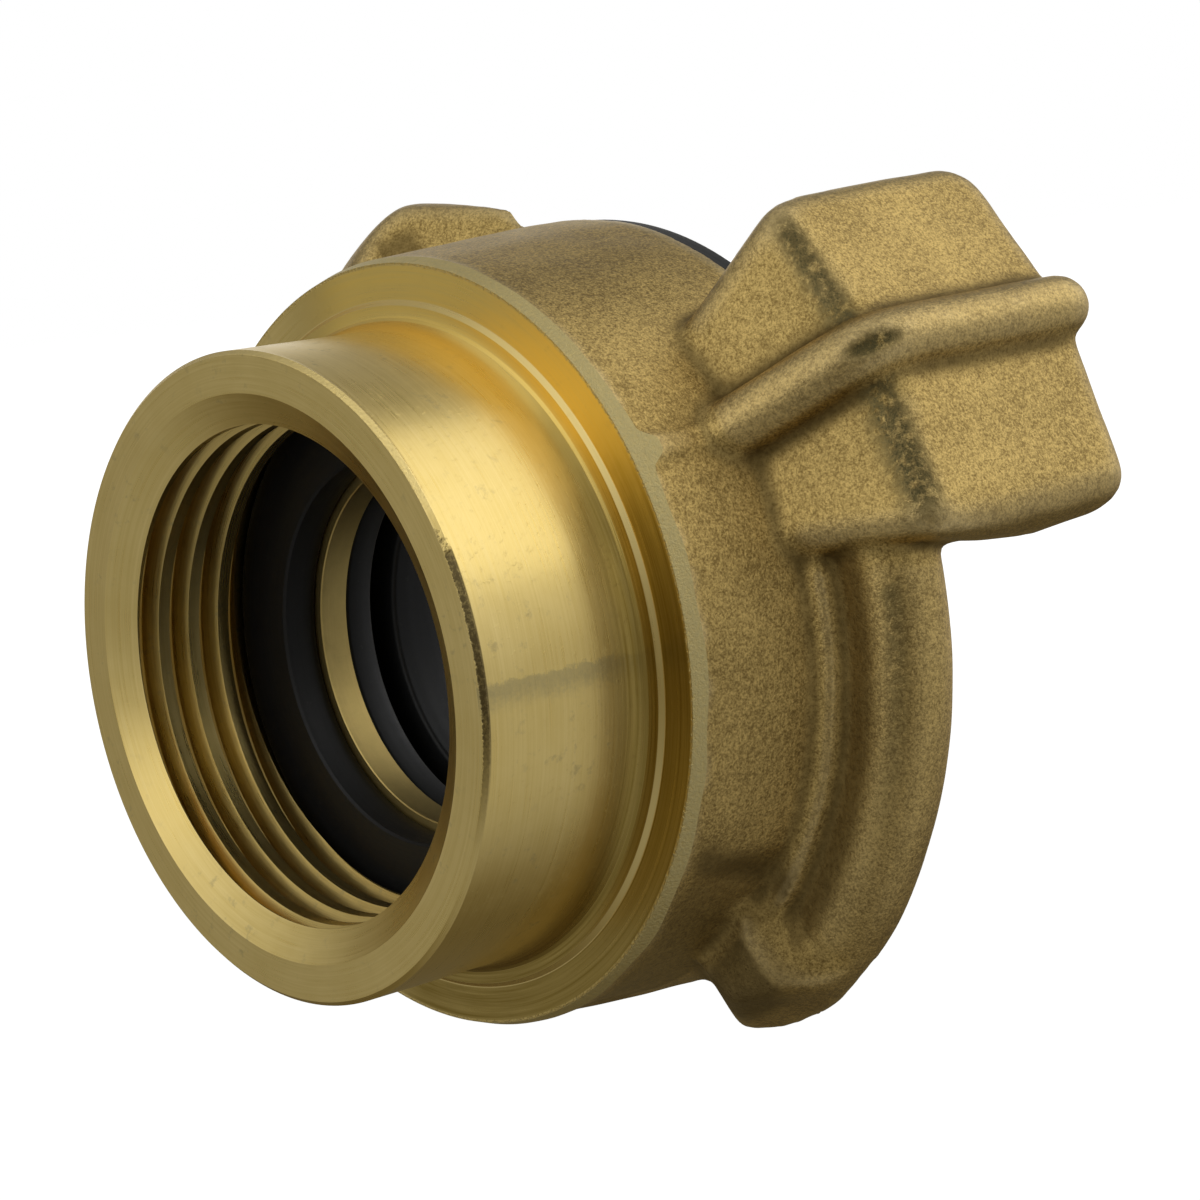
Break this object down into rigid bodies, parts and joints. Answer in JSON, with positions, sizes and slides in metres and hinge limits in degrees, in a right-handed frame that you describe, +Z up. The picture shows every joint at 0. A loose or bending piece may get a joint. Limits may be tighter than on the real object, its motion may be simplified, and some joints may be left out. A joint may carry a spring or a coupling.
{
  "type": "claw hose coupling",
  "caption": "Half of a brass claw coupling for water hoses: turned collar with an inside pipe thread, forged core with hooked claws and cam flanges, rubber gasket and face seal.",
  "frame": {"origin": "centre of the mouth of the inside pipe thread, in the plane of the collar's end", "axes": "+X along the bore from the thread's mouth to the claws; +Z up as the coupling lies in the picture, with one claw at -Y, 28.6 degrees above the level"},
  "size_m": [0.033, 0.0526, 0.0426],
  "materials": {
    "brass": "forged and blasted skin, turned collar and face",
    "gasket_rubber": "matte, cut flat",
    "seal_rubber": "matte, moulded"
  },
  "bodies": {
    "root": {"body": "brass", "thread_gasket": "gasket_rubber", "face_seal": "seal_rubber"}
  },
  "joints": []
}
